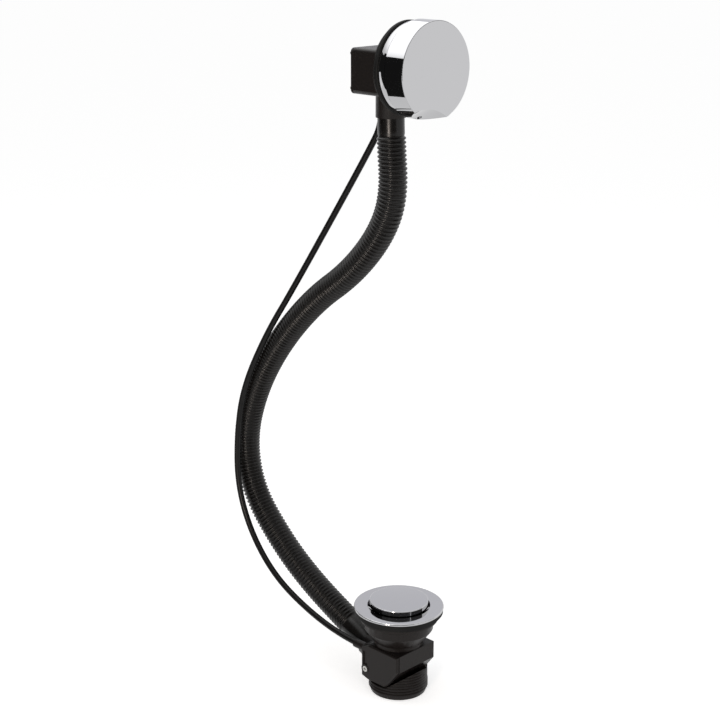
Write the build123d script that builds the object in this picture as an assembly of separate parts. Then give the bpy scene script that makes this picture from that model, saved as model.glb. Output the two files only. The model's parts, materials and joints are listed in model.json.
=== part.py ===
from build123d import *
import math
import os

# Bath waste and overflow: a pop-up plug in the bath floor, lifted by a cable that a knob on the
# overflow winds up. Millimetres, +Z up, +X the way the knob faces. The origin is on the waste's
# axis, in the plane where the bath floor is clamped. The plug stands open, as at rest.

# Waste flange and washers
FLANGE_LAND = 12.4
FLANGE_RIM_T = 2.0
FLANGE_WALL = 1.6
RIM_ROUND = 0.7
FLANGE_WASHER_T = 3.0
FLANGE_WASHER_INSET = 0.5
BODY_WASHER_T = 3.0
BODY_WASHER_W = 6.0
WASHER_GAP = 0.4
SEAT_REACH = 3.4
TAIL_WALL = 2.4
TAIL_END_Z = -18.0
THREAD_GAP = 0.1
SPIDER_BAR_W = 2.6
SPIDER_Z = (-13.0, -9.0)
GUIDE_R = 5.5
GUIDE_Z = (-17.0, -7.0)

# Plug
PLUG_R = 23.4
PLUG_EDGE_T = 4.6
PLUG_CROWN = 1.0
PLUG_EDGE_ROUND = 0.6
PLUG_LIFT = 4.6
PLUG_TRAVEL = 6.0
PLUG_BOSS_R = 5.0
PLUG_BOSS_H = 4.0
PLUG_SEAL_INSET = 2.0
PLUG_SEAL_W = 8.0
RECESS_GAP = 1.6
CONE_SLOPE = 0.9
SEAT_GAP = 0.3
STEM_R = 3.0
FOOT_R = 4.0
FOOT_H = 6.5
FOOT_SOCKET = 3.5
FOOT_NOSE_R = 2.5
FOOT_NOSE_H = 2.5

# Waste body: cup, block, outlet
CUP_FLANGE_W = 4.0
CUP_FLANGE_T = 2.5
NECK_TOP_WALL = 5.0
NECK_TAPER_Z = (-24.2, -14.0)
NECK_FOOT_INSET = 2.5
CUP_FLOOR_Z = -19.0
BLOCK_TOP_Z = -27.0
BLOCK_FOOT_Z = -59.0
BLOCK_HALF_X = 20.5
BLOCK_COVER_Y = -22.5
BLOCK_FAR_Y = 19.5
BLOCK_FRONT_FOOT_Z = -41.0
BLOCK_SLANT_X = 6.5
BLOCK_BACK_TOP_Z = -31.0
BLOCK_BACK_TOP_X = -12.0
BLOCK_BACK_FOOT_Z = -57.0
BLOCK_BACK_FOOT_X = -13.0
WATER_SIDE_Y = -12.0
WATER_STEP = 0.4
BLOCK_WALL = 2.5
OUTLET_END_Z = -68.0
OUTLET_WALL = 3.0
THREAD_R = 23.9
THREAD_DEPTH = 1.4
THREAD_PITCH = 2.309
THREAD_TURNS = 9
THREAD_FULL_TURNS = 3
THREAD_RUNOUT = 0.4
THREAD_CREST = 0.5
OUTLET_LEAD = 2.6
OUTLET_SLOPE = 0.8
GUSSET_X = 13.8

# Lever pocket on the block's side, with its cover and screw
COVER_T = 2.5
COVER_INSET = 0.5
COVER_BEVEL = 1.0
POCKET_FLOOR_Y = -14.0
POCKET_RIGHT_X = 3.0
POCKET_LEFT_X = -17.5
POCKET_TOP_Z = -29.3
POCKET_FOOT_Z = -54.2
POCKET_WAIST_X = -12.9
POCKET_WAIST_Z = -43.5
POCKET_SHOULDER_Z = -39.5
SCREW_X = -15.3
SCREW_Z = -49.5
SCREW_BOSS_R = 3.9
SCREW_BOSS_H = 0.4
SCREW_HEAD_R = 2.4
SCREW_HEAD_H = 1.6
SCREW_SHANK_R = 1.2
SCREW_LENGTH = 7.0
SCREW_SLOT_W = 0.6
SCREW_SLOT_SHARE = 0.6
CHANNEL_W = 4.4
CHANNEL_DEPTH = 0.9
CHANNEL_Z = (-46.0, -34.0)

# Lever, crank and their seal
PIVOT_X = -7.6
PIVOT_Z = -49.0
LEVER_SHAFT_R = 2.5
LEVER_OUTER_END = 1.0
LEVER_END_WALL = 1.2
FINGER_LENGTH = 7.84
FINGER_TIP_R = 2.5
FINGER_W = 6.0
FINGER_ARM_T = 2.8
LEVER_HUB_R = 3.3
LEVER_SWING = 45.0
FINGER_GAP = 0.3
CRANK_LENGTH = 16.0
CRANK_T = 3.6
CRANK_HUB_R = 4.8
CRANK_EYE_R = 3.2
CRANK_ROOT_HALF_W = 2.9
CRANK_TIP_HALF_W = 2.2
CRANK_WALL_GAP = 0.4
CRANK_SLOT_W = 2.2
NIPPLE_R = 1.5
SEAL_SECTION_R = 0.9
RUNNING_GAP = 0.05
FIT_GAP = 0.02

# Overflow head: knob, ring, gasket
KNOB_Z = 427.0
WALL_X = 7.0
KNOB_R = 35.0
KNOB_DEPTH = 17.0
KNOB_WALL = 2.5
KNOB_FACE_T = 3.0
KNOB_EDGE_ROUND = 0.5
KNOB_HUB_R = 7.0
KNOB_GAP = 0.5
SCOOP_R = 46.0
SCOOP_DEPTH = 8.1
SCOOP_TILT = 31.0
SCOOP_TURN = 10.0
GRUB_R = 2.0
GRUB_LENGTH = 3.6
GRUB_SETBACK = 5.5
GRUB_ACCESS_R = 2.3
GRUB_ACCESS_DEPTH = 5.0
RING_DEPTH = 8.0
RING_BACK_INSET = 2.3
RING_MIDDLE_INSET = 1.05
RING_FRONT_INSET = 0.3
RING_WALL = 2.5
RING_FRONT_T = 3.0
RING_SLOT_W = 9.0
RING_SLOT_DEPTH = 2.6
RING_SLOT_ANGLES = (-28.0, 0.0, 28.0)
GASKET_T = 4.0
GASKET_INSET = 1.2
GASKET_ROUND = 1.2

# Overflow body: nose, dish, drum housing, hose socket
NOSE_R = 22.0
NOSE_BORE_R = 18.5
NOSE_LENGTH = 9.0
DISH_INSET = 4.0
DISH_RIM_T = 3.0
DISH_DEPTH = 6.0
DISH_FOOT_R = 22.0
HOUSING_BACK_X = -35.0
HOUSING_HALF_Y = 16.0
HOUSING_UP = 12.6
HOUSING_DOWN = 20.5
HOUSING_WALL = 2.5
HOUSING_ROUND = 3.0
HOUSING_COVER_T = 3.2
HOUSING_COVER_ROUND = 1.5
PARTITION_T = 4.0
PARTITION_BACK_X = -26.0
BEARING_R = 6.0
BEARING_T = 4.0
WEB_T = 3.0
HOUSING_SCREW_R = 1.2
HOUSING_SCREW_HEAD_R = 2.3
HOUSING_SCREW_HEAD_H = 1.4
HOUSING_SCREW_LENGTH = 6.0
HOUSING_SCREW_INSET = 4.0
HOUSING_BOSS_R = 2.2

# Spindle, drum and wire
SPINDLE_R = 3.0
SPINDLE_KNOB_DEPTH = 9.5
DRUM_WALL_GAP = 0.5
DRUM_WIRE_R = 8.0
DRUM_GROOVE_W = 2.4
DRUM_END_GAP = 0.7
WIRE_R = 0.75
WIRE_WRAP = 150.0
WIRE_CLEAR = 6.0

# Hose and cable sheath
HOSE_R = 10.6
CUFF_R = 10.0
HOSE_BORE_R = 7.8
TOP_CUFF = 24.0
FOOT_CUFF = 34.0
SOCKET_R = 11.2
SOCKET_DEPTH = 11.0
SOCKET_GAP = 0.05
TOP_SOCKET_LENGTH = 16.0
TOP_SOCKET_X = -12.0
FOOT_SOCKET_LENGTH = 14.0
FOOT_SOCKET_RISE = 23.0
FOOT_SOCKET_Z = -45.6
SHEATH_R = 2.5
FERRULE_R = 3.6
FERRULE_LENGTH = 11.0
FERRULE_SOCKET = 8.0
FERRULE_SHANK_R = 2.4
WIRE_BORE_R = 1.0
BEND_SHARE = 0.45

# Routes of the two flexible lines, between their fixed ends
HOSE_ROUTE = [
    (-8, 0, 334), (-21, 0, 302), (-53, 0, 267), (-96, 0, 237), (-138, 0, 194),
    (-169, 0, 147), (-185, 0, 98), (-175, 0, 53), (-140, 0, 17), (-104, 0, -8),
]
SHEATH_ROUTE = [
    (-30.5, 8, 378.5), (-154, -5, 196), (-175, -13.5, 150), (-180, -15, 105), (-176, -15.5, 62),
    (-160, -15.5, 24), (-128, -16, -7), (-88, -16.5, -24), (-47, -17, -34.2),
]

# Derived places
FLANGE_UNDER_Z = FLANGE_WASHER_T
FLANGE_TOP_Z = FLANGE_UNDER_Z + FLANGE_RIM_T
FLANGE_R = PLUG_R + FLANGE_LAND
FLANGE_WASHER_R = FLANGE_R - FLANGE_WASHER_INSET
THROAT_R = PLUG_R - SEAT_REACH
TAIL_R = THROAT_R + TAIL_WALL
PLUG_SEAL_R = PLUG_R - PLUG_SEAL_INSET
PLUG_SEAL_BORE_R = PLUG_SEAL_R - PLUG_SEAL_W
RECESS_R = PLUG_R + RECESS_GAP
SHELL_R = RECESS_R + FLANGE_WALL
PLUG_EDGE_Z = FLANGE_TOP_Z + PLUG_LIFT
PLUG_UNDER_Z = PLUG_EDGE_Z - PLUG_EDGE_T
PLUG_SHUT_Z = PLUG_UNDER_Z - PLUG_TRAVEL
RECESS_FLOOR_Z = PLUG_SHUT_Z + CONE_SLOPE * RECESS_GAP - SEAT_GAP
CONE_FOOT_Z = RECESS_FLOOR_Z - CONE_SLOPE * (RECESS_R - THROAT_R)
PLUG_SEAL_T = CONE_SLOPE * (PLUG_R - PLUG_SEAL_R)
SHELL_FOOT_Z = RECESS_FLOOR_Z - SEAT_GAP
TAIL_TOP_Z = SHELL_FOOT_Z - CONE_SLOPE * (SHELL_R - TAIL_R)
WASHER_BORE_R = SHELL_R + WASHER_GAP
BODY_WASHER_R = WASHER_BORE_R + BODY_WASHER_W
CUP_TOP_Z = -BODY_WASHER_T
CUP_BORE_R = TAIL_R + THREAD_GAP
CUP_LEAD = max(0, CUP_TOP_Z - TAIL_TOP_Z) / CONE_SLOPE + WASHER_GAP
NECK_TOP_R = CUP_BORE_R + NECK_TOP_WALL
NECK_FOOT_R = CUP_BORE_R - NECK_FOOT_INSET
CUP_FLANGE_R = NECK_TOP_R + CUP_FLANGE_W
WATER_R = BLOCK_FAR_Y - BLOCK_WALL
THREAD_ROOT_R = THREAD_R - THREAD_DEPTH
THREAD_RUNOUT_R = THREAD_R - THREAD_RUNOUT
OUTLET_BORE_R = THREAD_ROOT_R - OUTLET_WALL
COVER_SEAT_Y = BLOCK_COVER_Y + COVER_T
LEVER_INNER_END_Y = BLOCK_FAR_Y - LEVER_END_WALL
CRANK_Y = (COVER_SEAT_Y + POCKET_FLOOR_Y) / 2
REST_ANGLE = LEVER_SWING / 2
FINGER_TIP_Z = PIVOT_Z + FINGER_LENGTH * math.sin(math.radians(REST_ANGLE))
FOOT_UNDER_Z = FINGER_TIP_Z + FINGER_TIP_R + FINGER_GAP
CRANK_EYE_X = PIVOT_X - CRANK_LENGTH * math.sin(math.radians(REST_ANGLE))
CRANK_EYE_Z = PIVOT_Z + CRANK_LENGTH * math.cos(math.radians(REST_ANGLE))
RING_FRONT_X = WALL_X + RING_DEPTH
RING_BACK_R = KNOB_R - RING_BACK_INSET
RING_MIDDLE_R = KNOB_R - RING_MIDDLE_INSET
RING_FRONT_R = KNOB_R - RING_FRONT_INSET
GASKET_R = KNOB_R - GASKET_INSET
DISH_R = KNOB_R - DISH_INSET
KNOB_BACK_X = RING_FRONT_X + KNOB_GAP
KNOB_FACE_X = KNOB_BACK_X + KNOB_DEPTH
BODY_FRONT_X = WALL_X - GASKET_T
HOUSING_TOP_Z = KNOB_Z + HOUSING_UP
HOUSING_FOOT_Z = KNOB_Z - HOUSING_DOWN
PARTITION_FRONT_X = PARTITION_BACK_X + PARTITION_T
DRUM_R = HOUSING_UP - HOUSING_WALL - DRUM_WALL_GAP
DRUM_BACK_X = HOUSING_BACK_X + DRUM_END_GAP
DRUM_FRONT_X = PARTITION_BACK_X - DRUM_END_GAP
DRUM_X = (DRUM_BACK_X + DRUM_FRONT_X) / 2
SPINDLE_END_X = KNOB_BACK_X + SPINDLE_KNOB_DEPTH
FOOT_SOCKET_AXIS = Vector(
    -math.cos(math.radians(FOOT_SOCKET_RISE)), 0, math.sin(math.radians(FOOT_SOCKET_RISE))
)
FOOT_SOCKET_FACE = Vector(-BLOCK_HALF_X, 0, FOOT_SOCKET_Z)
FOOT_SOCKET_MOUTH = FOOT_SOCKET_FACE + FOOT_SOCKET_AXIS * FOOT_SOCKET_LENGTH
HOSE_TOP = Vector(TOP_SOCKET_X, 0, HOUSING_FOOT_Z - TOP_SOCKET_LENGTH + SOCKET_DEPTH)
HOSE_FOOT = FOOT_SOCKET_MOUTH - FOOT_SOCKET_AXIS * SOCKET_DEPTH
HOUSING_SCREWS = [
    (side * (HOUSING_HALF_Y - HOUSING_SCREW_INSET), z)
    for side in (-1, 1)
    for z in (HOUSING_TOP_Z - HOUSING_SCREW_INSET, HOUSING_FOOT_Z + HOUSING_SCREW_INSET)
]
BASE = (Align.CENTER, Align.CENTER, Align.MIN)


def post(radius, z0, z1, x=0.0, y=0.0):
    """Upright round post from z0 to z1."""
    return Pos(x, y, z0) * Cylinder(radius, z1 - z0, align=BASE)


def rod_x(radius, x0, x1, y=0.0, z=KNOB_Z):
    """Round rod along X."""
    return Pos(x0, y, z) * Rot(0, 90, 0) * Cylinder(radius, x1 - x0, align=BASE)


def rod_y(radius, y0, y1, x, z):
    """Round rod along Y."""
    return Pos(x, y0, z) * Rot(-90, 0, 0) * Cylinder(radius, y1 - y0, align=BASE)


def rod_between(radius, start, end):
    """Round rod from one point to another."""
    way = end - start
    return Plane(start, z_dir=way) * Cylinder(radius, way.length, align=BASE)


def block(x0, x1, y0, y1, z0, z1):
    """Plain box between two corners."""
    return Pos((x0 + x1) / 2, (y0 + y1) / 2, (z0 + z1) / 2) * Box(x1 - x0, y1 - y0, z1 - z0)


def turned_z(points):
    """Solid turned about the waste's axis from (radius, height) corners."""
    return revolve(make_face(Plane.XZ * Polyline(*points, close=True)), Axis.Z)


def turned_x(points):
    """Solid turned about the knob's axis from (radius, x) corners."""
    return Pos(0, 0, KNOB_Z) * Rot(0, 90, 0) * turned_z(points)


def prism_y(points, y0, y1):
    """Straight prism along Y of an outline of (x, z) corners."""
    outline = make_face(Plane.XZ.offset(-y1) * Polyline(*points, close=True))
    return extrude(outline, y1 - y0, dir=(0, -1, 0))


def round_edges(solid, radius):
    """The solid's circular edges of one radius."""
    return [
        edge
        for edge in solid.edges().filter_by(GeomType.CIRCLE)
        if abs(edge.radius - radius) < 0.001
    ]


def about_x(solid, degrees):
    """The solid turned about the knob's axis."""
    return Pos(0, 0, KNOB_Z) * Rot(degrees, 0, 0) * Pos(0, 0, -KNOB_Z) * solid


def about_pivot(solid, degrees):
    """The solid turned about the lever's pivot."""
    return Pos(PIVOT_X, 0, PIVOT_Z) * Rot(0, degrees, 0) * Pos(-PIVOT_X, 0, -PIVOT_Z) * solid


def cross_slot(head_r, head_h, place):
    """Cross-shaped driver recess, sunk half a screw head deep at a place."""
    bar = Box(2 * SCREW_SLOT_SHARE * head_r, SCREW_SLOT_W, head_h)
    return place * (bar + Rot(0, 0, 90) * bar)


# Waste flange and washers

def make_waste_flange():
    flange = turned_z([
        (FLANGE_R, FLANGE_TOP_Z),
        (FLANGE_R, FLANGE_UNDER_Z),
        (SHELL_R, FLANGE_UNDER_Z),
        (SHELL_R, SHELL_FOOT_Z),
        (TAIL_R, TAIL_TOP_Z),
        (TAIL_R, TAIL_END_Z),
        (THROAT_R, TAIL_END_Z),
        (THROAT_R, CONE_FOOT_Z),
        (RECESS_R, RECESS_FLOOR_Z),
        (RECESS_R, FLANGE_TOP_Z),
    ])
    flange = fillet(round_edges(flange, FLANGE_R), RIM_ROUND)
    bar_reach = (THROAT_R + TAIL_R) / 2
    bar = block(-bar_reach, bar_reach, -SPIDER_BAR_W / 2, SPIDER_BAR_W / 2, *SPIDER_Z)
    flange += bar + Rot(0, 0, 90) * bar + post(GUIDE_R, *GUIDE_Z)
    return flange - post(STEM_R + RUNNING_GAP, *GUIDE_Z)


def make_washer(radius, z0, z1):
    return post(radius, z0, z1) - post(WASHER_BORE_R, z0, z1)


# Pop-up plug

def make_plug_cap():
    dome_r = (PLUG_R ** 2 + PLUG_CROWN ** 2) / (2 * PLUG_CROWN)
    disc = post(PLUG_R, PLUG_UNDER_Z, PLUG_EDGE_Z + PLUG_CROWN)
    dome = Pos(0, 0, PLUG_EDGE_Z + PLUG_CROWN - dome_r) * Sphere(dome_r)
    cap = disc & dome
    rim = [edge for edge in round_edges(cap, PLUG_R) if edge.center().Z > PLUG_UNDER_Z]
    cap = fillet(rim, PLUG_EDGE_ROUND)
    cap += post(PLUG_BOSS_R, PLUG_UNDER_Z - PLUG_BOSS_H, PLUG_UNDER_Z)
    return cap - post(STEM_R + FIT_GAP, PLUG_UNDER_Z - PLUG_BOSS_H, PLUG_UNDER_Z)


def make_plug_seal():
    seal = post(PLUG_SEAL_R, PLUG_UNDER_Z - PLUG_SEAL_T, PLUG_UNDER_Z)
    return seal - post(PLUG_SEAL_BORE_R, PLUG_UNDER_Z - PLUG_SEAL_T, PLUG_UNDER_Z)


def make_plug_stem():
    return post(STEM_R, FOOT_UNDER_Z + FOOT_H - FOOT_SOCKET, PLUG_UNDER_Z)


def make_stem_foot():
    top = FOOT_UNDER_Z + FOOT_H
    foot = post(FOOT_NOSE_R, FOOT_UNDER_Z, top) + post(FOOT_R, FOOT_UNDER_Z + FOOT_NOSE_H, top)
    return foot - post(STEM_R + FIT_GAP, top - FOOT_SOCKET, top)


# Waste body

def block_outline(inset=0.0):
    corners = Polyline(
        (BLOCK_HALF_X, BLOCK_TOP_Z),
        (BLOCK_HALF_X, BLOCK_FRONT_FOOT_Z),
        (BLOCK_SLANT_X, BLOCK_FOOT_Z),
        (BLOCK_BACK_FOOT_X, BLOCK_FOOT_Z),
        (-BLOCK_HALF_X, BLOCK_BACK_FOOT_Z),
        (-BLOCK_HALF_X, BLOCK_BACK_TOP_Z),
        (BLOCK_BACK_TOP_X, BLOCK_TOP_Z),
        close=True,
    )
    face = make_face(corners)
    return offset(face, -inset, kind=Kind.INTERSECTION) if inset else face


def block_prism(y0, y1, inset=0.0):
    return extrude(Plane.XZ.offset(-y1) * block_outline(inset), y1 - y0, dir=(0, -1, 0))


def outlet_profile(top_z):
    """Room of the outlet up to the block's foot, sloping up in front of the block's slanted face."""
    reach = 2 * THREAD_R
    return prism_y(
        [
            (-reach, OUTLET_END_Z),
            (reach, OUTLET_END_Z),
            (reach, top_z + OUTLET_SLOPE * (reach - BLOCK_SLANT_X)),
            (BLOCK_SLANT_X, top_z),
            (-reach, top_z),
        ],
        -reach,
        reach,
    )


def outlet_gusset():
    """Web at the block's far end, from its slanted face down onto the outlet's sloping wall."""
    lap = BLOCK_WALL / 2
    steep = (BLOCK_FRONT_FOOT_Z - BLOCK_FOOT_Z) / (BLOCK_HALF_X - BLOCK_SLANT_X)
    run = GUSSET_X - BLOCK_SLANT_X
    return prism_y(
        [
            (BLOCK_SLANT_X, BLOCK_FOOT_Z - lap),
            (GUSSET_X, BLOCK_FOOT_Z + OUTLET_SLOPE * run - lap),
            (GUSSET_X, BLOCK_FOOT_Z + steep * run + lap),
            (BLOCK_SLANT_X, BLOCK_FOOT_Z + lap),
        ],
        BLOCK_FAR_Y - BLOCK_WALL,
        BLOCK_FAR_Y,
    )


def outlet_thread():
    flank = (THREAD_PITCH - THREAD_CREST) / 2
    first_z = OUTLET_END_Z + OUTLET_LEAD
    last_z = first_z + THREAD_TURNS * THREAD_PITCH
    points = [(0, OUTLET_END_Z), (THREAD_ROOT_R, OUTLET_END_Z)]
    for turn in range(THREAD_TURNS):
        z = first_z + turn * THREAD_PITCH
        crest_r = THREAD_R if turn < THREAD_FULL_TURNS else THREAD_RUNOUT_R
        points.append((THREAD_ROOT_R, z))
        points.append((crest_r, z + flank))
        points.append((crest_r, z + flank + THREAD_CREST))
    return turned_z(points + [(THREAD_ROOT_R, last_z), (0, last_z)])


def lever_pocket():
    return prism_y(
        [
            (POCKET_RIGHT_X, POCKET_TOP_Z),
            (POCKET_RIGHT_X, POCKET_FOOT_Z),
            (POCKET_WAIST_X, POCKET_FOOT_Z),
            (POCKET_WAIST_X, POCKET_WAIST_Z),
            (POCKET_LEFT_X, POCKET_SHOULDER_Z),
            (POCKET_LEFT_X, POCKET_TOP_Z),
        ],
        COVER_SEAT_Y,
        POCKET_FLOOR_Y,
    )


def seal_seat_y():
    return POCKET_FLOOR_Y + 2 * SEAL_SECTION_R


def make_waste_body():
    neck = turned_z([
        (0, CUP_TOP_Z),
        (CUP_FLANGE_R, CUP_TOP_Z),
        (CUP_FLANGE_R, CUP_TOP_Z - CUP_FLANGE_T),
        (NECK_TOP_R, CUP_TOP_Z - 2 * CUP_FLANGE_T),
        (NECK_TOP_R, NECK_TAPER_Z[1]),
        (NECK_FOOT_R, NECK_TAPER_Z[0]),
        (NECK_FOOT_R, BLOCK_TOP_Z),
        (0, BLOCK_TOP_Z),
    ])
    socket_root = FOOT_SOCKET_FACE - FOOT_SOCKET_AXIS * SOCKET_DEPTH
    body = neck + block_prism(COVER_SEAT_Y, BLOCK_FAR_Y)
    body += rod_between(SOCKET_R, socket_root, FOOT_SOCKET_MOUTH)
    body += outlet_thread() & outlet_profile(BLOCK_FOOT_Z)
    body += outlet_gusset()
    chamber = block_prism(WATER_SIDE_Y, WATER_R, BLOCK_WALL) & post(WATER_R, BLOCK_FOOT_Z, BLOCK_TOP_Z)
    entry = post(WATER_R, BLOCK_TOP_Z - BLOCK_WALL, CUP_FLOOR_Z)
    entry &= block(-WATER_R, WATER_R, WATER_SIDE_Y, WATER_R, BLOCK_FOOT_Z, CUP_FLOOR_Z)
    cup_mouth = turned_z([
        (0, CUP_TOP_Z),
        (CUP_BORE_R + CUP_LEAD, CUP_TOP_Z),
        (CUP_BORE_R, CUP_TOP_Z - CONE_SLOPE * CUP_LEAD),
        (CUP_BORE_R, CUP_FLOOR_Z),
        (0, CUP_FLOOR_Z),
    ])
    body -= cup_mouth + chamber + entry
    outlet_top_z = BLOCK_FOOT_Z - BLOCK_WALL
    outlet_room = post(OUTLET_BORE_R, OUTLET_END_Z, BLOCK_TOP_Z)
    throat = outlet_room & block(
        BLOCK_BACK_FOOT_X + BLOCK_WALL, BLOCK_SLANT_X - BLOCK_WALL, WATER_SIDE_Y, WATER_R,
        OUTLET_END_Z, BLOCK_FOOT_Z + BLOCK_WALL + WATER_STEP,
    )
    body -= throat
    body -= outlet_room & outlet_profile(outlet_top_z)
    body -= rod_between(CUFF_R + SOCKET_GAP, HOSE_FOOT, FOOT_SOCKET_MOUTH)
    body -= rod_between(HOSE_BORE_R, socket_root, HOSE_FOOT)
    body -= lever_pocket()
    body -= rod_y(LEVER_SHAFT_R + RUNNING_GAP, POCKET_FLOOR_Y, LEVER_INNER_END_Y, PIVOT_X, PIVOT_Z)
    seal_r = LEVER_SHAFT_R + RUNNING_GAP + 2 * SEAL_SECTION_R
    body -= rod_y(seal_r, POCKET_FLOOR_Y, seal_seat_y(), PIVOT_X, PIVOT_Z)
    body -= rod_y(SCREW_SHANK_R, COVER_SEAT_Y, COVER_SEAT_Y + SCREW_LENGTH, SCREW_X, SCREW_Z)
    body -= rod_x(FERRULE_SHANK_R + FIT_GAP, -BLOCK_HALF_X, POCKET_LEFT_X, CRANK_Y, CRANK_EYE_Z)
    return body


def make_side_cover():
    cover = block_prism(BLOCK_COVER_Y, COVER_SEAT_Y, COVER_INSET)
    cover = chamfer(cover.faces().sort_by(Axis.Y)[0].outer_wire().edges(), COVER_BEVEL)
    boss_face_y = BLOCK_COVER_Y - SCREW_BOSS_H
    cover -= block(
        SCREW_X - CHANNEL_W / 2, SCREW_X + CHANNEL_W / 2,
        BLOCK_COVER_Y, BLOCK_COVER_Y + CHANNEL_DEPTH, *CHANNEL_Z,
    )
    cover += rod_y(SCREW_BOSS_R, boss_face_y, COVER_SEAT_Y, SCREW_X, SCREW_Z)
    cover -= rod_y(SCREW_HEAD_R + RUNNING_GAP, boss_face_y, boss_face_y + SCREW_HEAD_H, SCREW_X, SCREW_Z)
    return cover - rod_y(SCREW_SHANK_R + RUNNING_GAP, boss_face_y, COVER_SEAT_Y, SCREW_X, SCREW_Z)


def make_cover_screw():
    face_y = BLOCK_COVER_Y - SCREW_BOSS_H
    head = rod_y(SCREW_HEAD_R, face_y, face_y + SCREW_HEAD_H, SCREW_X, SCREW_Z)
    shank = rod_y(SCREW_SHANK_R, face_y, COVER_SEAT_Y + SCREW_LENGTH, SCREW_X, SCREW_Z)
    place = Pos(SCREW_X, face_y, SCREW_Z) * Rot(90, 0, 0)
    return head + shank - cross_slot(SCREW_HEAD_R, SCREW_HEAD_H, place)


# Lever in the water way, crank in the pocket

def make_lift_lever():
    shaft = rod_y(
        LEVER_SHAFT_R,
        CRANK_Y - CRANK_T / 2 - LEVER_OUTER_END,
        LEVER_INNER_END_Y - RUNNING_GAP,
        PIVOT_X,
        PIVOT_Z,
    )
    tip_x = PIVOT_X + FINGER_LENGTH
    hub = rod_y(LEVER_HUB_R, -FINGER_W / 2, FINGER_W / 2, PIVOT_X, PIVOT_Z)
    arm = block(
        PIVOT_X, tip_x, -FINGER_W / 2, FINGER_W / 2,
        PIVOT_Z - FINGER_ARM_T / 2, PIVOT_Z + FINGER_ARM_T / 2,
    )
    tip = rod_y(FINGER_TIP_R, -FINGER_W / 2, FINGER_W / 2, tip_x, PIVOT_Z)
    return shaft + about_pivot(hub + arm + tip, -REST_ANGLE)


def make_lever_seal():
    middle = LEVER_SHAFT_R + RUNNING_GAP + SEAL_SECTION_R
    place = Pos(PIVOT_X, POCKET_FLOOR_Y + SEAL_SECTION_R, PIVOT_Z) * Rot(90, 0, 0)
    return place * Torus(middle, SEAL_SECTION_R - FIT_GAP)


def make_cable_crank():
    y0 = CRANK_Y - CRANK_T / 2
    y1 = CRANK_Y + CRANK_T / 2
    eye_z = PIVOT_Z + CRANK_LENGTH
    hub = rod_y(CRANK_HUB_R, y0, POCKET_FLOOR_Y - CRANK_WALL_GAP, PIVOT_X, PIVOT_Z)
    arm = prism_y(
        [
            (PIVOT_X - CRANK_ROOT_HALF_W, PIVOT_Z),
            (PIVOT_X + CRANK_ROOT_HALF_W, PIVOT_Z),
            (PIVOT_X + CRANK_TIP_HALF_W, eye_z),
            (PIVOT_X - CRANK_TIP_HALF_W, eye_z),
        ],
        y0,
        y1,
    )
    eye = rod_y(CRANK_EYE_R, y0, y1, PIVOT_X, eye_z)
    crank = hub + arm + eye
    crank -= rod_y(LEVER_SHAFT_R + FIT_GAP, y0, POCKET_FLOOR_Y, PIVOT_X, PIVOT_Z)
    crank -= rod_y(NIPPLE_R + FIT_GAP, y0, y1, PIVOT_X, eye_z)
    crank -= block(
        PIVOT_X - CRANK_EYE_R, PIVOT_X, CRANK_Y - CRANK_SLOT_W / 2, CRANK_Y + CRANK_SLOT_W / 2,
        eye_z - CRANK_EYE_R, eye_z + CRANK_EYE_R,
    )
    return about_pivot(crank, -REST_ANGLE)


def make_crank_nipple():
    half = CRANK_T / 2
    return rod_y(NIPPLE_R, CRANK_Y - half, CRANK_Y + half, CRANK_EYE_X, CRANK_EYE_Z)


def make_lower_wire():
    start_x = -BLOCK_HALF_X - FERRULE_LENGTH + FERRULE_SOCKET
    return rod_x(WIRE_R, start_x, CRANK_EYE_X - NIPPLE_R - FINGER_GAP, CRANK_Y, CRANK_EYE_Z)


# Ferrules at the two ends of the cable

def make_ferrule(shank):
    """Ferrule about Z: its shoulder at zero, its shank above, its sheath socket below."""
    ferrule = post(FERRULE_R, -FERRULE_LENGTH, 0) + post(FERRULE_SHANK_R, 0, shank)
    ferrule -= post(SHEATH_R + SOCKET_GAP, -FERRULE_LENGTH, FERRULE_SOCKET - FERRULE_LENGTH)
    return ferrule - post(WIRE_BORE_R, FERRULE_SOCKET - FERRULE_LENGTH, shank)


def make_upper_ferrule():
    return Pos(DRUM_X, DRUM_WIRE_R, HOUSING_FOOT_Z) * make_ferrule(HOUSING_WALL)


def make_lower_ferrule():
    place = Pos(-BLOCK_HALF_X, CRANK_Y, CRANK_EYE_Z) * Rot(0, 90, 0)
    return place * make_ferrule(BLOCK_HALF_X + POCKET_LEFT_X)


# Overflow head

def scoop_tool(skin):
    """Round cutter of the finger scoop, grown by a skin for the wall behind it."""
    tilt = math.radians(SCOOP_TILT)
    axis = Vector(math.cos(tilt), 0, math.sin(tilt))
    depth = KNOB_R - SCOOP_DEPTH + SCOOP_R / math.cos(tilt)
    middle = Vector(KNOB_FACE_X, 0, KNOB_Z - depth)
    reach = axis * 2 * SCOOP_R
    return rod_between(SCOOP_R + skin, middle - reach, middle + reach)


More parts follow.
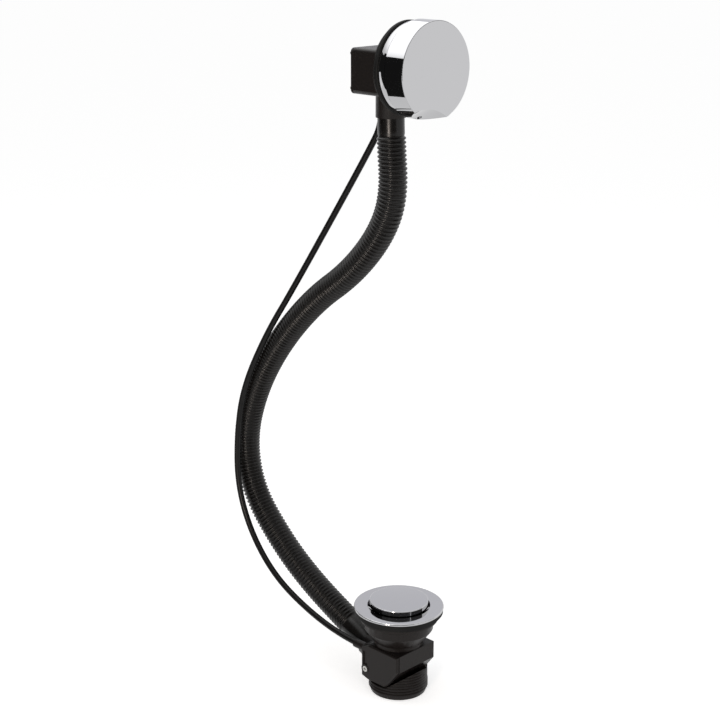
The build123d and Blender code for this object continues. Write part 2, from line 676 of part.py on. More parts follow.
def make_control_knob():
    knob = rod_x(KNOB_R, KNOB_BACK_X, KNOB_FACE_X)
    face_edge = [edge for edge in round_edges(knob, KNOB_R) if edge.center().X > KNOB_BACK_X]
    knob = fillet(face_edge, KNOB_EDGE_ROUND)
    knob -= rod_x(KNOB_R - KNOB_WALL, KNOB_BACK_X, KNOB_FACE_X - KNOB_FACE_T)
    knob += rod_x(KNOB_HUB_R, KNOB_BACK_X, KNOB_FACE_X - KNOB_FACE_T)
    knob += scoop_tool(KNOB_WALL) & rod_x(KNOB_R, KNOB_BACK_X, KNOB_FACE_X)
    knob -= scoop_tool(0)
    knob -= rod_x(SPINDLE_R + FIT_GAP, KNOB_BACK_X, SPINDLE_END_X)
    grub_x = KNOB_BACK_X + GRUB_SETBACK
    knob -= post(GRUB_R, KNOB_Z - KNOB_HUB_R, KNOB_Z - SPINDLE_R, grub_x)
    knob -= post(GRUB_ACCESS_R, KNOB_Z - KNOB_R, KNOB_Z - KNOB_R + GRUB_ACCESS_DEPTH, grub_x)
    return about_x(knob, -SCOOP_TURN)


def make_knob_grub_screw():
    grub_x = KNOB_BACK_X + GRUB_SETBACK
    top = KNOB_Z - SPINDLE_R - RUNNING_GAP
    grub = post(GRUB_R, top - GRUB_LENGTH, top, grub_x)
    socket = RegularPolygon(GRUB_R / 2, 6)
    grub -= extrude(Pos(grub_x, 0, top - GRUB_LENGTH) * socket, GRUB_LENGTH / 2)
    return about_x(grub, -SCOOP_TURN)


def make_overflow_ring():
    sleeve_r = NOSE_R + THREAD_GAP
    groove_depth = RING_DEPTH - RING_FRONT_T
    outer = Plane.XZ * (
        ThreePointArc((RING_BACK_R, 0), (RING_MIDDLE_R, RING_DEPTH / 2), (RING_FRONT_R, RING_DEPTH))
        + Polyline(
            (RING_FRONT_R, RING_DEPTH),
            (sleeve_r, RING_DEPTH),
            (sleeve_r, 0),
            (sleeve_r + RING_WALL, 0),
            (sleeve_r + RING_WALL, groove_depth),
            (RING_BACK_R - RING_WALL, groove_depth),
            (RING_BACK_R - RING_WALL, 0),
            (RING_BACK_R, 0),
        )
    )
    ring = revolve(make_face(outer), Axis.Z)
    ring = Pos(WALL_X, 0, KNOB_Z) * Rot(0, 90, 0) * ring
    for angle in RING_SLOT_ANGLES:
        slot = block(
            RING_FRONT_X - RING_SLOT_DEPTH, RING_FRONT_X, -RING_SLOT_W / 2, RING_SLOT_W / 2,
            KNOB_Z - KNOB_R, KNOB_Z - sleeve_r - RING_WALL,
        )
        ring -= about_x(slot, angle)
    return ring


def make_overflow_gasket():
    gasket = rod_x(GASKET_R, BODY_FRONT_X, WALL_X)
    gasket = fillet(round_edges(gasket, GASKET_R), GASKET_ROUND)
    return gasket - rod_x(NOSE_R + WASHER_GAP, BODY_FRONT_X, WALL_X)


def housing_outline(shrink=0.0, rounding=HOUSING_ROUND):
    """Rounded outline of the drum housing, facing +X, shrunk by a wall."""
    width = HOUSING_UP + HOUSING_DOWN - 2 * shrink
    sketch = RectangleRounded(2 * (HOUSING_HALF_Y - shrink), width, rounding)
    return Pos(0, (HOUSING_UP - HOUSING_DOWN) / 2) * sketch


def housing_prism(x0, x1, shrink=0.0, rounding=HOUSING_ROUND):
    plane = Plane((x0, 0, KNOB_Z), x_dir=(0, 1, 0), z_dir=(1, 0, 0))
    return extrude(plane * housing_outline(shrink, rounding), x1 - x0)


def make_overflow_body():
    dish_back_x = BODY_FRONT_X - DISH_RIM_T - DISH_DEPTH
    body = turned_x([
        (0, BODY_FRONT_X + NOSE_LENGTH),
        (NOSE_R, BODY_FRONT_X + NOSE_LENGTH),
        (NOSE_R, BODY_FRONT_X),
        (DISH_R, BODY_FRONT_X),
        (DISH_R, BODY_FRONT_X - DISH_RIM_T),
        (DISH_FOOT_R, dish_back_x),
        (0, dish_back_x),
    ])
    body += housing_prism(HOUSING_BACK_X, BODY_FRONT_X - DISH_RIM_T)
    socket_foot_z = HOUSING_FOOT_Z - TOP_SOCKET_LENGTH
    body += post(SOCKET_R, socket_foot_z, KNOB_Z, TOP_SOCKET_X)
    inner_round = HOUSING_ROUND - HOUSING_WALL / 2
    chamber = housing_prism(PARTITION_FRONT_X, BODY_FRONT_X - DISH_RIM_T, HOUSING_WALL, inner_round)
    nose_bore = rod_x(NOSE_BORE_R, BODY_FRONT_X - DISH_RIM_T, BODY_FRONT_X + NOSE_LENGTH)
    drain = post(HOSE_BORE_R, socket_foot_z, KNOB_Z, TOP_SOCKET_X)
    drum_room = housing_prism(HOUSING_BACK_X, PARTITION_BACK_X, HOUSING_WALL, inner_round)
    body -= chamber + nose_bore + drain + drum_room
    body -= post(CUFF_R + SOCKET_GAP, socket_foot_z, socket_foot_z + SOCKET_DEPTH, TOP_SOCKET_X)
    bearing_x = BODY_FRONT_X + NOSE_LENGTH - BEARING_T
    reach = (NOSE_BORE_R + NOSE_R) / 2
    for turn in (0, 90):
        web = block(bearing_x, bearing_x + BEARING_T, -reach, reach, KNOB_Z - WEB_T / 2, KNOB_Z + WEB_T / 2)
        body += about_x(web, turn)
    body += rod_x(BEARING_R, bearing_x, bearing_x + BEARING_T)
    for y, z in HOUSING_SCREWS:
        body += rod_x(HOUSING_BOSS_R, HOUSING_BACK_X, PARTITION_BACK_X, y, z)
        body -= rod_x(HOUSING_SCREW_R, HOUSING_BACK_X, HOUSING_BACK_X + HOUSING_SCREW_LENGTH, y, z)
    body -= rod_x(SPINDLE_R + RUNNING_GAP, PARTITION_BACK_X, BODY_FRONT_X + NOSE_LENGTH)
    seal_r = SPINDLE_R + RUNNING_GAP + 2 * SEAL_SECTION_R
    body -= rod_x(seal_r, PARTITION_FRONT_X - 2 * SEAL_SECTION_R, PARTITION_FRONT_X)
    wall_top_z = HOUSING_FOOT_Z + HOUSING_WALL
    return body - post(FERRULE_SHANK_R + FIT_GAP, HOUSING_FOOT_Z, wall_top_z, DRUM_X, DRUM_WIRE_R)


def make_drum_cover():
    cover = housing_prism(HOUSING_BACK_X - HOUSING_COVER_T, HOUSING_BACK_X)
    back = cover.faces().sort_by(Axis.X)[0]
    cover = fillet(back.outer_wire().edges(), HOUSING_COVER_ROUND)
    for y, z in HOUSING_SCREWS:
        hole_r = HOUSING_SCREW_R + RUNNING_GAP
        cover -= rod_x(hole_r, HOUSING_BACK_X - HOUSING_COVER_T, HOUSING_BACK_X, y, z)
    return cover


def make_drum_cover_screws():
    screws = []
    seat_x = HOUSING_BACK_X - HOUSING_COVER_T
    for y, z in HOUSING_SCREWS:
        head = rod_x(HOUSING_SCREW_HEAD_R, seat_x - HOUSING_SCREW_HEAD_H, seat_x, y, z)
        shank = rod_x(HOUSING_SCREW_R, seat_x, HOUSING_BACK_X + HOUSING_SCREW_LENGTH, y, z)
        place = Pos(seat_x - HOUSING_SCREW_HEAD_H, y, z) * Rot(0, -90, 0)
        slot = cross_slot(HOUSING_SCREW_HEAD_R, HOUSING_SCREW_HEAD_H, place)
        screws.append(head + shank - slot)
    return Compound(children=[Solid(screw.solid().wrapped) for screw in screws])


# Spindle, drum and inner wire

def make_knob_spindle():
    return rod_x(SPINDLE_R, DRUM_BACK_X, SPINDLE_END_X)


def make_spindle_seal():
    middle = SPINDLE_R + RUNNING_GAP + SEAL_SECTION_R
    place = Pos(PARTITION_FRONT_X - SEAL_SECTION_R, 0, KNOB_Z) * Rot(0, 90, 0)
    return place * Torus(middle, SEAL_SECTION_R - FIT_GAP)


def nipple_angle_place():
    angle = math.radians(WIRE_WRAP)
    return DRUM_WIRE_R * math.cos(angle), KNOB_Z + DRUM_WIRE_R * math.sin(angle)


def make_cable_drum():
    groove_r = DRUM_WIRE_R - WIRE_R - RUNNING_GAP
    groove0 = DRUM_X - DRUM_GROOVE_W / 2
    groove1 = DRUM_X + DRUM_GROOVE_W / 2
    drum = rod_x(DRUM_R, DRUM_BACK_X, DRUM_FRONT_X)
    drum -= rod_x(DRUM_R, groove0, groove1) - rod_x(groove_r, groove0, groove1)
    y, z = nipple_angle_place()
    drum -= rod_x(NIPPLE_R + FIT_GAP, DRUM_BACK_X, groove1, y, z)
    return drum - rod_x(SPINDLE_R + FIT_GAP, DRUM_BACK_X, DRUM_FRONT_X)


def make_drum_nipple():
    y, z = nipple_angle_place()
    return rod_x(NIPPLE_R, DRUM_BACK_X, DRUM_X + DRUM_GROOVE_W / 2 - FIT_GAP, y, z)


def make_drum_wire():
    slack = math.degrees((NIPPLE_R + RUNNING_GAP) / DRUM_WIRE_R)
    plane = Plane((DRUM_X, 0, KNOB_Z), x_dir=(0, 1, 0), z_dir=(1, 0, 0))
    bend = plane * CenterArc((0, 0), DRUM_WIRE_R, 0, WIRE_WRAP - slack)
    section = Plane(bend @ 0, z_dir=bend % 0) * Circle(WIRE_R)
    return sweep(section, path=bend)


def make_upper_wire():
    start_z = HOUSING_FOOT_Z - FERRULE_LENGTH + FERRULE_SOCKET
    return post(WIRE_R, start_z, KNOB_Z - WIRE_CLEAR, DRUM_X, DRUM_WIRE_R)


# Hose and sheath along their routes

def bend_radii(points):
    """Radius at each inner point: as large as its two runs allow."""
    radii = []
    for before, here, after in zip(points, points[1:], points[2:]):
        turn = (here - before).get_angle(after - here)
        run = min((here - before).length, (after - here).length)
        radii.append(BEND_SHARE * run / math.tan(math.radians(turn / 2)))
    return radii


def line_path(points):
    """Path through the corner points with its corners rounded."""
    points = [Vector(point) for point in points]
    return FilletPolyline(*points, radius=bend_radii(points))


def hose_ends():
    top = HOSE_TOP - Vector(0, 0, TOP_CUFF)
    foot = HOSE_FOOT + FOOT_SOCKET_AXIS * FOOT_CUFF
    return top, foot


def make_overflow_hose():
    top, foot = hose_ends()
    path = line_path([top] + HOSE_ROUTE + [foot])
    start = Plane(path @ 0, z_dir=path % 0)
    hose = sweep(start * Circle(HOSE_R), path=path)
    hose += rod_between(CUFF_R, top, HOSE_TOP) + rod_between(CUFF_R, foot, HOSE_FOOT)
    bore = sweep(start * Circle(HOSE_BORE_R), path=path)
    bore += rod_between(HOSE_BORE_R, top, HOSE_TOP) + rod_between(HOSE_BORE_R, foot, HOSE_FOOT)
    return hose - bore


def make_cable_sheath():
    depth = FERRULE_LENGTH - FERRULE_SOCKET
    top = Vector(DRUM_X, DRUM_WIRE_R, HOUSING_FOOT_Z - depth)
    foot = Vector(-BLOCK_HALF_X - depth, CRANK_Y, CRANK_EYE_Z)
    path = line_path([top] + SHEATH_ROUTE + [foot])
    return sweep(Plane(path @ 0, z_dir=path % 0) * Circle(SHEATH_R), path=path)


NODES = {
    "waste_flange": make_waste_flange,
    "flange_washer": lambda: make_washer(FLANGE_WASHER_R, 0, FLANGE_WASHER_T),
    "body_washer": lambda: make_washer(BODY_WASHER_R, CUP_TOP_Z, 0),
    "plug_cap": make_plug_cap,
    "plug_seal": make_plug_seal,
    "plug_stem": make_plug_stem,
    "stem_foot": make_stem_foot,
    "waste_body": make_waste_body,
    "side_cover": make_side_cover,
    "cover_screw": make_cover_screw,
    "lift_lever": make_lift_lever,
    "lever_seal": make_lever_seal,
    "cable_crank": make_cable_crank,
    "crank_nipple": make_crank_nipple,
    "lower_wire": make_lower_wire,
    "lower_ferrule": make_lower_ferrule,
    "control_knob": make_control_knob,
    "knob_grub_screw": make_knob_grub_screw,
    "overflow_ring": make_overflow_ring,
    "overflow_gasket": make_overflow_gasket,
    "overflow_body": make_overflow_body,
    "drum_cover": make_drum_cover,
    "drum_cover_screws": make_drum_cover_screws,
    "knob_spindle": make_knob_spindle,
    "spindle_seal": make_spindle_seal,
    "cable_drum": make_cable_drum,
    "drum_nipple": make_drum_nipple,
    "drum_wire": make_drum_wire,
    "upper_wire": make_upper_wire,
    "upper_ferrule": make_upper_ferrule,
    "overflow_hose": make_overflow_hose,
    "cable_sheath": make_cable_sheath,
}

os.makedirs("parts", exist_ok=True)
for node, make in NODES.items():
    export_step(make(), f"parts/{node}.step")
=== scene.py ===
import json
import math

import bmesh
import bpy
from mathutils import Matrix, Vector


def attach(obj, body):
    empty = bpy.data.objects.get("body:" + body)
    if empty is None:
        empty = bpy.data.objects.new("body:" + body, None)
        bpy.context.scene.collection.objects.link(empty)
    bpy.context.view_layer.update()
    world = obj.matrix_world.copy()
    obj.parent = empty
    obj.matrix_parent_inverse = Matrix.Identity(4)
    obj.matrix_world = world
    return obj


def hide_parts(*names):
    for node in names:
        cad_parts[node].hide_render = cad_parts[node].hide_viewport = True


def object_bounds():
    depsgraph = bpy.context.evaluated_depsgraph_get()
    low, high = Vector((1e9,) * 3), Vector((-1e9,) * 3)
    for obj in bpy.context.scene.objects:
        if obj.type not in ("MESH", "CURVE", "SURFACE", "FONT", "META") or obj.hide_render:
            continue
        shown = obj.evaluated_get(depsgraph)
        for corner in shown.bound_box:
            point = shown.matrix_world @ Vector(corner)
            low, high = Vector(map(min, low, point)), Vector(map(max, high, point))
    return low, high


# Bath waste and overflow: chrome knob, ring, flange and plug, black moulded bodies, a corrugated
# overflow hose and the sheathed cable that lifts the plug. Metres, in the frame of the solids.

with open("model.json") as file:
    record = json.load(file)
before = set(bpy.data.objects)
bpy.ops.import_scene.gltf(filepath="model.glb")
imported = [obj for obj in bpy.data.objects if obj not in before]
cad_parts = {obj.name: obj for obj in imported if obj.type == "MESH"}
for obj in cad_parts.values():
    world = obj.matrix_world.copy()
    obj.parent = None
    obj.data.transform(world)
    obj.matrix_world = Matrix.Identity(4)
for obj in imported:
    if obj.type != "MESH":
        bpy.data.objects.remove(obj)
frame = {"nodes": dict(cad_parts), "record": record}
cad_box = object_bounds()
nodes = frame["nodes"]

MM = 0.001

# Photograph: a square frame, taken from the knob's front left and a little above
CAMERA_PLACE = (0.7605, -0.7947, 0.5445)
CAMERA_TURN_DEG = (73.0, 0.0, 45.35)
CAMERA_LENS_MM = 75.95
CAMERA_SENSOR_MM = 36.0

# Overflow hose: control points of its line from the knob's end down, then its ribbed wall
HOSE_ROUTE_MM = [
    (-12, 0, 401.5), (-12, 0, 377.5), (-8, 0, 334), (-21, 0, 302), (-53, 0, 267), (-96, 0, 237),
    (-138, 0, 194), (-169, 0, 147), (-185, 0, 98), (-175, 0, 53), (-140, 0, 17), (-104, 0, -8),
    (-54.56, 0, -31.14), (-23.26, 0, -44.43),
]
HOSE_CREST_R = 10.9 * MM
HOSE_ROOT_R = 9.6 * MM
HOSE_BORE_R = 7.8 * MM
HOSE_PITCH = 3.2 * MM
HOSE_RIB_FULLNESS = 0.7  # below 1 the crests are rounder and the roots tighter
HOSE_RIB_POINTS = 8
HOSE_SEGMENTS = 40
HOSE_BORE_STEP = 6.0 * MM
CUFF_R = 10.0 * MM
CUFF_STEPS = 6
TOP_CUFF = 24.0 * MM
FOOT_CUFF = 34.0 * MM

# Cable sheath: a line like the solid's, drawn a little towards the camera and over the hose
SHEATH_ROUTE_MM = [
    (-30.5, 8, 403.5), (-28.6, 9.9, 386), (-43.5, 7.4, 359), (-112.8, -5.3, 246.5),
    (-141.6, -11.8, 201.5), (-169, -14.2, 150), (-177.6, -15, 105), (-177, -15.9, 61.3),
    (-161, -16, 22.6), (-129.7, -16.9, -8.1), (-88.4, -16.9, -25.6), (-47, -17, -34.2),
    (-23.5, -17, -34.22),
]
SHEATH_R = 2.5 * MM
SHEATH_ROUNDNESS = 6

ROUTE_STEPS = 24
ROUTE_ORDER = 3
MERGE_GAP = 0.001 * MM

# Rounding of the moulded edges that show, too small for the solids
MOULDED_EDGES = [
    ("waste_body", 0.4 * MM), ("side_cover", 0.3 * MM), ("overflow_body", 0.5 * MM),
    ("drum_cover", 0.4 * MM),
]
EDGE_SEGMENTS = 2
EDGE_ANGLE_DEG = 35
FLAT_ANGLE_DEG = 0.5

# Noise stays nearly always between these two values
NOISE_LOW = 0.3
NOISE_HIGH = 0.7
NOISE_DETAIL = 2.0

# Swing of a moulding's roughness about its mean, and the strength of its relief
ROUGH_SWING = 0.06
RELIEF = 0.4

# White studio: what the eye and the mirrors see of it, and what it sheds on the object
BACKDROP = 1.0
AMBIENT = 0.5
FLOOR_HALF = 12.0
FLOOR_GAP = 0.5 * MM
FLOOR_GLOW = 0.53

# Cards of the studio that only glossy pieces see, for the bands in the chrome: name, place, aim,
# width and height, colour, strength, and for a fading card the two heights and its lower strength
CARDS = [
    ("left_flag", (-0.387, -0.370, 0.283), (0.024, 0, 0.283), (0.46, 0.702), "#FFFFFF", 0.01, None),
    ("far_flag", (-1.0, -0.22, 0.52), (0, 0, 0.52), (0.9, 0.40), "#FFFFFF", 0.01, None),
    ("camera_flag", (0.95, -0.95, 0.45), (0, 0, 0.3), (2.6, 1.9), "#FFFFFF", 0.6,
     (0.75, 1.35, 0.05)),
    ("near_left_flag", (-0.22, -1.12, 0.50), (0, 0, 0.30), (0.62, 1.3), "#FFFFFF", 0.05, None),
    ("right_flag", (1.04, 0.60, 0.74), (0, 0, 0.20), (1.3, 0.56), "#FFFFFF", 0.05, None),
    ("sky_card", (-0.90, 0.96, 0.78), (0, 0, 0), (1.3, 0.9), "#FAFAFF", 0.80, None),
    ("floor_card", (0, 0, cad_box[0].z), (0, 0, -1.0), (2.4, 2.4), "#FFFFFF", 0.86, None),
    ("top_panel", (-0.68, -0.09, 0.985), (0, 0, 0.40), (1.7, 0.75), "#FFFFFF", 1.85,
     (0.70, 0.95, 0.75)),
]


def linear(code):
    """An sRGB hex colour as linear red, green, blue and alpha."""
    shares = [int(code[i:i + 2], 16) / 255 for i in (1, 3, 5)]
    return [s / 12.92 if s <= 0.04045 else ((s + 0.055) / 1.055) ** 2.4 for s in shares] + [1.0]


def add_node(tree, kind, settings=(), links=()):
    """Adds one node, sets its properties and sockets, and links its sockets to other outputs."""
    node = tree.nodes.new(kind)
    for key, value in dict(settings).items():
        if isinstance(key, str) and hasattr(node, key):
            setattr(node, key, value)
        else:
            node.inputs[key].default_value = value
    for key, output in dict(links).items():
        tree.links.new(output, node.inputs[key])
    return node


def new_material(name, settings):
    """A material with one Principled shader and the Object coordinates of its piece."""
    material = bpy.data.materials.new(name)
    material.use_nodes = True
    tree = material.node_tree
    tree.nodes.clear()
    shader = add_node(tree, "ShaderNodeBsdfPrincipled", settings)
    add_node(tree, "ShaderNodeOutputMaterial", links={"Surface": shader.outputs["BSDF"]})
    place = add_node(tree, "ShaderNodeTexCoord").outputs["Object"]
    return material, tree, shader, place


def metal(name, colour, patch, low, high):
    """A metal whose roughness wanders from low to high over patches of one size."""
    material, tree, shader, place = new_material(
        name, {"Base Color": linear(colour), "Metallic": 1.0}
    )
    patches = add_node(
        tree, "ShaderNodeTexNoise", {"Scale": 1.0 / patch, "Detail": NOISE_DETAIL},
        {"Vector": place},
    )
    haze = add_node(
        tree, "ShaderNodeMapRange",
        {"From Min": NOISE_LOW, "From Max": NOISE_HIGH, "To Min": low, "To Max": high},
        {"Value": patches.outputs["Fac"]},
    )
    tree.links.new(haze.outputs["Result"], shader.inputs["Roughness"])
    return material


def moulding(name, colour, rough, grit, height, gloss):
    """A moulded surface with grit of one size and height, which spreads its highlights."""
    material, tree, shader, place = new_material(
        name, {"Base Color": linear(colour), "Specular IOR Level": gloss}
    )
    grains = add_node(
        tree, "ShaderNodeTexNoise", {"Scale": 1.0 / grit, "Detail": NOISE_DETAIL},
        {"Vector": place},
    )
    satin = add_node(
        tree, "ShaderNodeMapRange",
        {"From Min": NOISE_LOW, "From Max": NOISE_HIGH,
         "To Min": rough - ROUGH_SWING, "To Max": rough + ROUGH_SWING},
        {"Value": grains.outputs["Fac"]},
    )
    tree.links.new(satin.outputs["Result"], shader.inputs["Roughness"])
    relief = add_node(
        tree, "ShaderNodeBump", {"Strength": RELIEF, "Distance": height},
        {"Height": grains.outputs["Fac"]},
    )
    tree.links.new(relief.outputs["Normal"], shader.inputs["Normal"])
    return material


# Bright chrome on polished metal: a clear mirror that gives back about half the light, with a
# breath of haze in patches of 9 mm.
CHROME = metal("chrome_plate", "#C4C4C6", patch=9 * MM, low=0.02, high=0.05)

# Polypropylene from a spark-eroded mould: black with a soft sheen. The real grit is about a tenth
# of 0.5 mm and is drawn coarser so that it shows.
BODY_PLASTIC = moulding(
    "black_polypropylene", "#191615", rough=0.32, grit=0.5 * MM, height=0.01 * MM, gloss=0.17
)

# Polypropylene blown into a ribbed mould: smoother, so that each rib has a bright line, with slow
# waves of 6 mm in the wall.
HOSE_PLASTIC = moulding(
    "hose_polypropylene", "#0D0B0A", rough=0.29, grit=6.0 * MM, height=0.003 * MM, gloss=0.32
)

# Plastic drawn over the wound cable: black, smooth and satin, its grit coarser than the real one.
SHEATH_PLASTIC = moulding(
    "sheath_plastic", "#0D0C0C", rough=0.34, grit=0.6 * MM, height=0.01 * MM, gloss=0.2
)

# Rubber from a plain mould: the darkest and mattest of the blacks, its grit drawn coarser too.
RUBBER = moulding(
    "moulded_rubber", "#0A0A0A", rough=0.62, grit=0.4 * MM, height=0.03 * MM, gloss=0.2
)

# Natural acetal, moulded: a waxy off-white with a low sheen.
ACETAL = moulding(
    "white_acetal", "#E6E3DA", rough=0.40, grit=0.6 * MM, height=0.02 * MM, gloss=0.3
)

# Zinc on steel, and turned brass: bright, with duller patches along the tool's marks.
STEEL = metal("zinc_plated_steel", "#C9C8C4", patch=1.2 * MM, low=0.18, high=0.34)
BRASS = metal("turned_brass", "#C9A961", patch=1.2 * MM, low=0.22, high=0.38)

FINISHES = {
    "chrome": CHROME,
    "washer_rubber": RUBBER,
    "black_plastic": BODY_PLASTIC,
    "hose_plastic": HOSE_PLASTIC,
    "sheath_plastic": SHEATH_PLASTIC,
    "brass": BRASS,
    "steel": STEEL,
    "white_acetal": ACETAL,
}
for subpart in frame["record"]["subparts"]:
    materials = nodes[subpart["node"]].data.materials
    materials.clear()
    materials.append(FINISHES[subpart["material_slot"]])


def soften(name, width):
    """Rounds the sharp edges of a solid a little, as moulding leaves them."""
    stack = nodes[name].modifiers
    weld = stack.new("weld", "WELD")
    weld.merge_threshold = MERGE_GAP
    flats = stack.new("whole flats", "DECIMATE")
    flats.decimate_type = "DISSOLVE"
    flats.angle_limit = math.radians(FLAT_ANGLE_DEG)
    edge = stack.new("rounded edges", "BEVEL")
    edge.width = width
    edge.segments = EDGE_SEGMENTS
    edge.limit_method = "ANGLE"
    edge.angle_limit = math.radians(EDGE_ANGLE_DEG)
    edge.harden_normals = True


for moulded_node, edge_width in MOULDED_EDGES:
    soften(moulded_node, edge_width)


def new_piece(name, bm, material, body):
    """A finished bmesh as an object at the origin, riding on a body."""
    mesh = bpy.data.meshes.new(name)
    bmesh.ops.remove_doubles(bm, verts=bm.verts, dist=MERGE_GAP)
    bmesh.ops.recalc_face_normals(bm, faces=bm.faces)
    # Spin leaves its faces in an order that changes from run to run; their corners fix it.
    bm.verts.index_update()
    count = len(bm.verts)
    corners = {face: [v.index for v in face.verts] for face in bm.faces}
    bm.faces.sort(key=lambda face: min(corners[face]) * count + max(corners[face]))
    for face in bm.faces:
        face.smooth = True
    bm.to_mesh(mesh)
    bm.free()
    mesh.materials.append(material)
    piece = bpy.data.objects.new(name, mesh)
    bpy.context.scene.collection.objects.link(piece)
    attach(piece, body)
    return piece


def route_curve(name, route_mm):
    """The smooth line of a flexible piece, with its route's points as control points."""
    curve = bpy.data.curves.new(name, "CURVE")
    curve.dimensions = "3D"
    curve.resolution_u = ROUTE_STEPS
    curve.use_path = True
    spline = curve.splines.new("NURBS")
    spline.points.add(len(route_mm) - 1)
    for point, corner in zip(spline.points, route_mm):
        point.co = [c * MM for c in corner] + [1.0]
    spline.order_u = ROUTE_ORDER
    spline.use_endpoint_u = True
    spline.resolution_u = ROUTE_STEPS
    line = bpy.data.objects.new(name, curve)
    bpy.context.scene.collection.objects.link(line)
    return line


def final_mesh(piece):
    """The mesh of a piece with its modifiers done, or of a bare curve's line."""
    bpy.context.view_layer.update()
    return bpy.data.meshes.new_from_object(
        piece.evaluated_get(bpy.context.evaluated_depsgraph_get())
    )


def points_on(line):
    """Points along a bare curve, in order."""
    mesh = final_mesh(line)
    found = [v.co.copy() for v in mesh.vertices]
    bpy.data.meshes.remove(mesh)
    return found


def hose_profile(length):
    """Radius and height corners of the hose's wall, once up the outside and back down the bore."""
    ribs = int((length - TOP_CUFF - FOOT_CUFF) / HOSE_PITCH)
    first = (TOP_CUFF + length - FOOT_CUFF - ribs * HOSE_PITCH) / 2
    corners = [(CUFF_R, TOP_CUFF * i / CUFF_STEPS) for i in range(CUFF_STEPS)]
    corners.append((CUFF_R, first - HOSE_PITCH / 2))
    for i in range(ribs * HOSE_RIB_POINTS + 1):
        swing = 0.5 - 0.5 * math.cos(2 * math.pi * i / HOSE_RIB_POINTS)
        radius = HOSE_ROOT_R + (HOSE_CREST_R - HOSE_ROOT_R) * swing ** HOSE_RIB_FULLNESS
        corners.append((radius, first + i * HOSE_PITCH / HOSE_RIB_POINTS))
    last = first + ribs * HOSE_PITCH + HOSE_PITCH / 2
    corners += [
        (CUFF_R, last + (length - last) * i / CUFF_STEPS) for i in range(CUFF_STEPS + 1)
    ]
    steps = int(length / HOSE_BORE_STEP)
    corners += [(HOSE_BORE_R, length * (steps - i) / steps) for i in range(steps + 1)]
    return corners


def make_hose():
    """The hose spun straight up the axis, then bent along its line."""
    line = route_curve("hose_line", HOSE_ROUTE_MM)
    path = points_on(line)
    length = sum((b - a).length for a, b in zip(path, path[1:]))
    bm = bmesh.new()
    corners = [bm.verts.new((r, 0.0, z)) for r, z in hose_profile(length)]
    edges = [bm.edges.new((a, b)) for a, b in zip(corners, corners[1:] + corners[:1])]
    bmesh.ops.spin(
        bm, geom=corners + edges, axis=(0, 0, 1), cent=(0, 0, 0), angle=math.tau,
        steps=HOSE_SEGMENTS, use_merge=True,
    )
    hose = new_piece("corrugated_hose", bm, HOSE_PLASTIC, "body")
    bend = hose.modifiers.new("bend", "CURVE")
    bend.object = line
    bend.deform_axis = "POS_Z"
    bent = final_mesh(hose)
    hose.modifiers.clear()
    hose.data = bent
    bpy.data.objects.remove(line)
    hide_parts("overflow_hose")


def make_sheath():
    """The cable's sheath, a round curve along its line."""
    sheath = route_curve("outer_cable", SHEATH_ROUTE_MM)
    sheath.data.bevel_depth = SHEATH_R
    sheath.data.bevel_resolution = SHEATH_ROUNDNESS
    sheath.data.use_fill_caps = True
    sheath.data.materials.append(SHEATH_PLASTIC)
    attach(sheath, "body")
    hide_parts("cable_sheath")


make_hose()
make_sheath()


def make_camera():
    data = bpy.data.cameras.new("photo_camera")
    data.lens = CAMERA_LENS_MM
    data.sensor_width = CAMERA_SENSOR_MM
    camera = bpy.data.objects.new("photo_camera", data)
    camera.location = CAMERA_PLACE
    camera.rotation_euler = [math.radians(a) for a in CAMERA_TURN_DEG]
    bpy.context.scene.collection.objects.link(camera)
    bpy.context.scene.camera = camera


def make_world():
    """A white world for the eye, mirrors and glass, and a dimmer one for the light it sheds."""
    world = bpy.data.worlds.new("white_studio")
    world.use_nodes = True
    bpy.context.scene.world = world
    tree = world.node_tree
    tree.nodes.clear()
    ray = add_node(tree, "ShaderNodeLightPath")
    seen = add_node(
        tree, "ShaderNodeMath", {"operation": "MAXIMUM"},
        {0: ray.outputs["Is Camera Ray"], 1: ray.outputs["Is Glossy Ray"]},
    )
    seen = add_node(
        tree, "ShaderNodeMath", {"operation": "MAXIMUM"},
        {0: seen.outputs[0], 1: ray.outputs["Is Transmission Ray"]},
    )
    strength = add_node(
        tree, "ShaderNodeMapRange", {"To Min": AMBIENT, "To Max": BACKDROP},
        {"Value": seen.outputs[0]},
    )
    light = add_node(
        tree, "ShaderNodeBackground", {"Color": linear("#FFFFFF")},
        {"Strength": strength.outputs["Result"]},
    )
    add_node(tree, "ShaderNodeOutputWorld", links={"Surface": light.outputs["Background"]})


def stage_sheet(name, bm, material):
    """A flat sheet of the studio, not a piece of the object."""
    mesh = bpy.data.meshes.new(name)
    bm.to_mesh(mesh)
    bm.free()
    mesh.materials.append(material)
    sheet = bpy.data.objects.new(name, mesh)
    bpy.context.scene.collection.objects.link(sheet)
    return sheet


def make_floor():
    bm = bmesh.new()
    bmesh.ops.create_grid(bm, x_segments=1, y_segments=1, size=FLOOR_HALF)
    bmesh.ops.translate(bm, verts=bm.verts, vec=(0, 0, cad_box[0].z - FLOOR_GAP))
    # White paper: matt, with a glow of its own that keeps it pale and leaves the shadow on it.
    material = new_material(
        "white_floor",
        {"Base Color": linear("#F4F4F4"), "Roughness": 0.9, "Specular IOR Level": 0.0,
         "Emission Strength": FLOOR_GLOW, "Emission Color": linear("#FFFFFF")},
    )[0]
    stage_sheet("floor", bm, material)


def facing(place, aim):
    """The turn that points a lamp or card at its aim."""
    return (Vector(aim) - Vector(place)).to_track_quat("-Z", "Y")


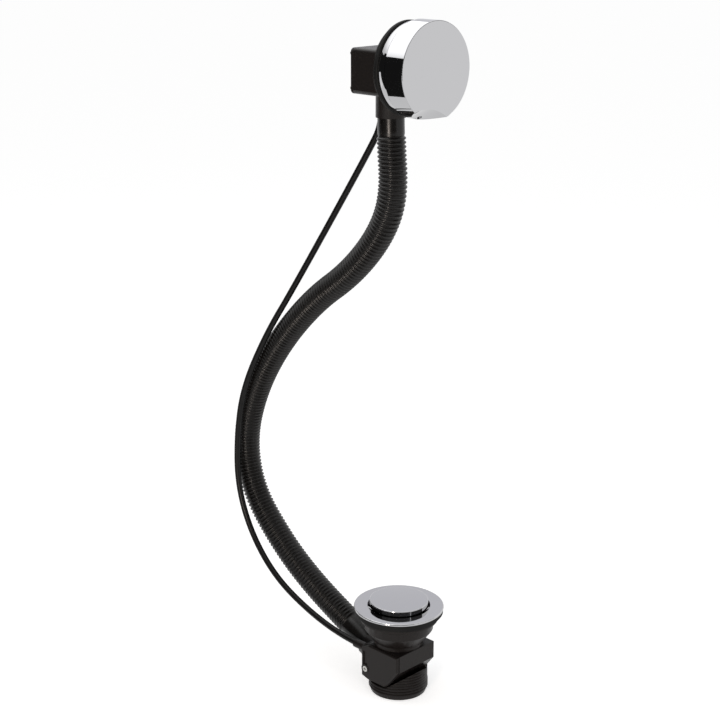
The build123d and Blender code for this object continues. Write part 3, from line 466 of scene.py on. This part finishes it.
def make_card(name, place, aim, size, colour, strength, fade):
    bm = bmesh.new()
    bmesh.ops.create_grid(bm, x_segments=1, y_segments=1, size=0.5)
    bmesh.ops.scale(bm, verts=bm.verts, vec=(size[0], size[1], 1.0))
    turn = facing(place, aim).to_matrix().to_4x4()
    bmesh.ops.transform(bm, matrix=Matrix.Translation(place) @ turn, verts=bm.verts)
    material, tree, shader, spot = new_material(
        name, {"Base Color": linear("#000000"), "Roughness": 1.0, "Specular IOR Level": 0.0,
               "Emission Color": linear(colour), "Emission Strength": strength},
    )
    if fade:
        low, high, low_strength = fade
        height = add_node(tree, "ShaderNodeSeparateXYZ", links={"Vector": spot})
        glow = add_node(
            tree, "ShaderNodeMapRange",
            {"interpolation_type": "SMOOTHSTEP", "From Min": low, "From Max": high,
             "To Min": low_strength, "To Max": strength},
            {"Value": height.outputs["Z"]},
        )
        tree.links.new(glow.outputs["Result"], shader.inputs["Emission Strength"])
    card = stage_sheet(name, bm, material)
    for kind in ("camera", "diffuse", "transmission", "shadow", "volume_scatter"):
        setattr(card, "visible_" + kind, False)


def make_lamp(name, place, aim, size, power, colour="#FFFFFF", mirrored=True, spared=()):
    """A soft lamp; glossy pieces don't mirror it if so set, and it leaves spared nodes unlit."""
    data = bpy.data.lights.new(name, "AREA")
    data.color = linear(colour)[:3]
    data.shape = "RECTANGLE"
    data.size, data.size_y = size
    data.energy = power
    lamp = bpy.data.objects.new(name, data)
    lamp.visible_glossy = mirrored
    lamp.location = place
    lamp.rotation_euler = facing(place, aim).to_euler()
    bpy.context.scene.collection.objects.link(lamp)
    if spared:
        dark = bpy.data.collections.new(name + "_spared")
        for node in spared:
            dark.objects.link(nodes[node])
        for entry in dark.collection_objects:
            entry.light_linking.link_state = "EXCLUDE"
        lamp.light_linking.receiver_collection = dark


make_camera()
make_world()
make_floor()
for card_values in CARDS:
    make_card(*card_values)
make_lamp(
    "top_softbox", place=(-0.5, -0.3, 1.5), aim=(-0.05, 0, 0.2), size=(0.9, 0.9), power=3.0
)
# The knob's flat face would throw the strip back whole and go white from the far side.
make_lamp(
    "side_strip", place=(0.44, -1.02, 0.20), aim=(0, 0, 0.20), size=(0.15, 0.5), power=6.0,
    colour="#FFF2E6", spared=["control_knob"],
)
make_lamp(
    "low_fill", place=(0.62, 0.20, 0.06), aim=(0, 0, -0.05), size=(0.5, 0.22), power=1.2,
    mirrored=False,
)
bpy.context.scene.view_settings.view_transform = "Standard"
